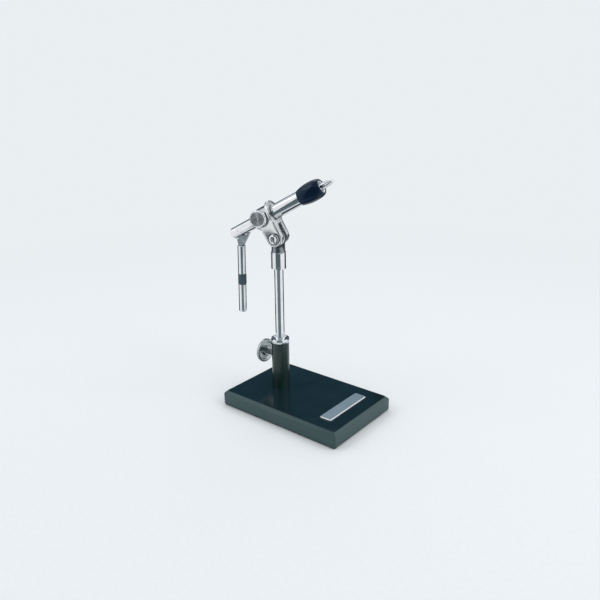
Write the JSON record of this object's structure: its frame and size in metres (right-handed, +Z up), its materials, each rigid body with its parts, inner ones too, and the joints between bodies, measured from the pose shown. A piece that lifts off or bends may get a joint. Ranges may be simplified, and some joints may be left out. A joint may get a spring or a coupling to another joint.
{
  "type": "fly tying vise",
  "caption": "Pedestal fly tying vise: weighted base, post with sliding stem, tilting head with a rotary barrel, cam lever, collar and split cone jaws.",
  "frame": {"origin": "on the post's axis, on the face that the base rests on", "axes": "+Z up, +X along the base towards the end with the small plate, -Y towards the side with the knob of the head"},
  "size_m": [0.1631, 0.102, 0.249],
  "materials": {
    "base_enamel": "black gloss enamel",
    "pad_rubber": "matt black",
    "bare_aluminium": "brushed",
    "post_enamel": "satin black",
    "chrome": "polished",
    "dark_steel": "turned, darkened",
    "steel": "turned",
    "housing_metal": "satin, machined",
    "bearing_bronze": "plain",
    "brake_plastic": "plain",
    "collar_black": "black gloss",
    "band_black": "satin"
  },
  "bodies": {
    "base": {"base_plate": "base_enamel", "base_pad": "pad_rubber", "front_plate": "bare_aluminium", "post_tube": "post_enamel", "post_ring": "chrome", "post_bolt": "steel", "post_bolt_washer": "steel"},
    "thumb_pad": {"pressure_pad": "bearing_bronze"},
    "thumb_screw": {"thumb_knob": "dark_steel", "thumb_stud": "steel"},
    "stem": {"stem_rod": "chrome"},
    "socket": {"socket_sleeve": "chrome", "socket_tongue": "dark_steel", "socket_screw": "dark_steel"},
    "head": {"clamp_housing": "housing_metal", "bearing_rear": "bearing_bronze", "bearing_front": "bearing_bronze", "pivot_bolt": "steel", "pivot_washers": "steel", "pivot_nut": "steel"},
    "brake": {"brake_pad": "brake_plastic"},
    "brake_knob": {"side_knob": "steel", "side_stud": "steel"},
    "barrel": {"barrel_tube": "chrome", "barrel_clip": "dark_steel", "lever_pin": "steel", "return_spring": "steel"},
    "collar_nose": {"nose_ring": "chrome"},
    "collar": {"jaw_collar": "collar_black"},
    "push": {"push_rod": "steel"},
    "upper_jaw": {"jaw_upper": "steel"},
    "lower_jaw": {"jaw_lower": "steel"},
    "lever": {"lever_tang": "dark_steel", "lever_rod": "chrome", "lever_band": "band_black", "lever_tip": "steel"}
  },
  "joints": [
    {"name": "clamp_travel", "type": "slide", "parent": "base", "child": "thumb_pad", "axis": [-1, 0, 0], "range_m": [0, 0.001]},
    {"name": "thumb_turn", "type": "hinge", "parent": "thumb_pad", "child": "thumb_screw", "pos_m": [-0.0203, 0, 0.053], "axis": [-1, 0, 0], "range_deg": [0, 360]},
    {"name": "stem_slide", "type": "slide", "parent": "base", "child": "stem", "axis": [0, 0, 1], "range_m": [-0.014, 0.018]},
    {"name": "head_swivel", "type": "hinge", "parent": "stem", "child": "socket", "pos_m": [0, 0, 0.162], "axis": [0, 0, 1], "continuous": true},
    {"name": "head_tilt", "type": "hinge", "parent": "socket", "child": "head", "pos_m": [0, 0, 0.1866], "axis": [0.2924, -0.9563, 0], "range_deg": [-50, 15]},
    {"name": "brake_travel", "type": "slide", "parent": "head", "child": "brake", "axis": [0.2924, -0.9563, 0], "range_m": [0, 0.0004]},
    {"name": "brake_turn", "type": "hinge", "parent": "brake", "child": "brake_knob", "pos_m": [-0.01227, -0.0163, 0.2067], "axis": [0.2924, -0.9563, 0], "range_deg": [0, 180]},
    {"name": "barrel_spin", "type": "hinge", "parent": "head", "child": "barrel", "pos_m": [-0.01138, -0.00348, 0.2079], "axis": [0.8348, 0.2552, 0.4879], "continuous": true},
    {"name": "collar_turn", "type": "hinge", "parent": "barrel", "child": "collar", "pos_m": [0.03227, 0.00987, 0.23341], "axis": [0.8348, 0.2552, 0.4879], "range_deg": [0, 180]},
    {"name": "collar_travel", "type": "slide", "parent": "barrel", "child": "collar_nose", "axis": [0.8348, 0.2552, 0.4879], "range_m": [0, 0.0005]},
    {"name": "lever_swing", "type": "hinge", "parent": "barrel", "child": "lever", "pos_m": [-0.04077, -0.01246, 0.19073], "axis": [-0.2924, 0.9563, 0], "range_deg": [0, 50]},
    {"name": "push_slide", "type": "slide", "parent": "barrel", "child": "push", "axis": [-0.8348, -0.2552, -0.4879], "range_m": [0, 0.0006]},
    {"name": "upper_jaw_open", "type": "hinge", "parent": "push", "child": "upper_jaw", "pos_m": [0.02603, 0.00796, 0.23177], "axis": [0.2924, -0.9563, 0], "range_deg": [0, 1.6]},
    {"name": "lower_jaw_open", "type": "hinge", "parent": "push", "child": "lower_jaw", "pos_m": [0.02767, 0.00846, 0.22872], "axis": [-0.2924, 0.9563, 0], "range_deg": [0, 1.6]}
  ],
  "couplings": [
    {"joint": "clamp_travel", "follows": "thumb_turn", "m_per_rad": 0.00015915},
    {"joint": "brake_travel", "follows": "brake_turn", "m_per_rad": 0.00012732},
    {"joint": "collar_travel", "follows": "collar_turn", "m_per_rad": 0.00015915},
    {"joint": "push_slide", "follows": "lever_swing", "m_per_rad": 0.0006875},
    {"joint": "upper_jaw_open", "follows": "lever_swing", "ratio": 0.032},
    {"joint": "lower_jaw_open", "follows": "lever_swing", "ratio": 0.032}
  ]
}
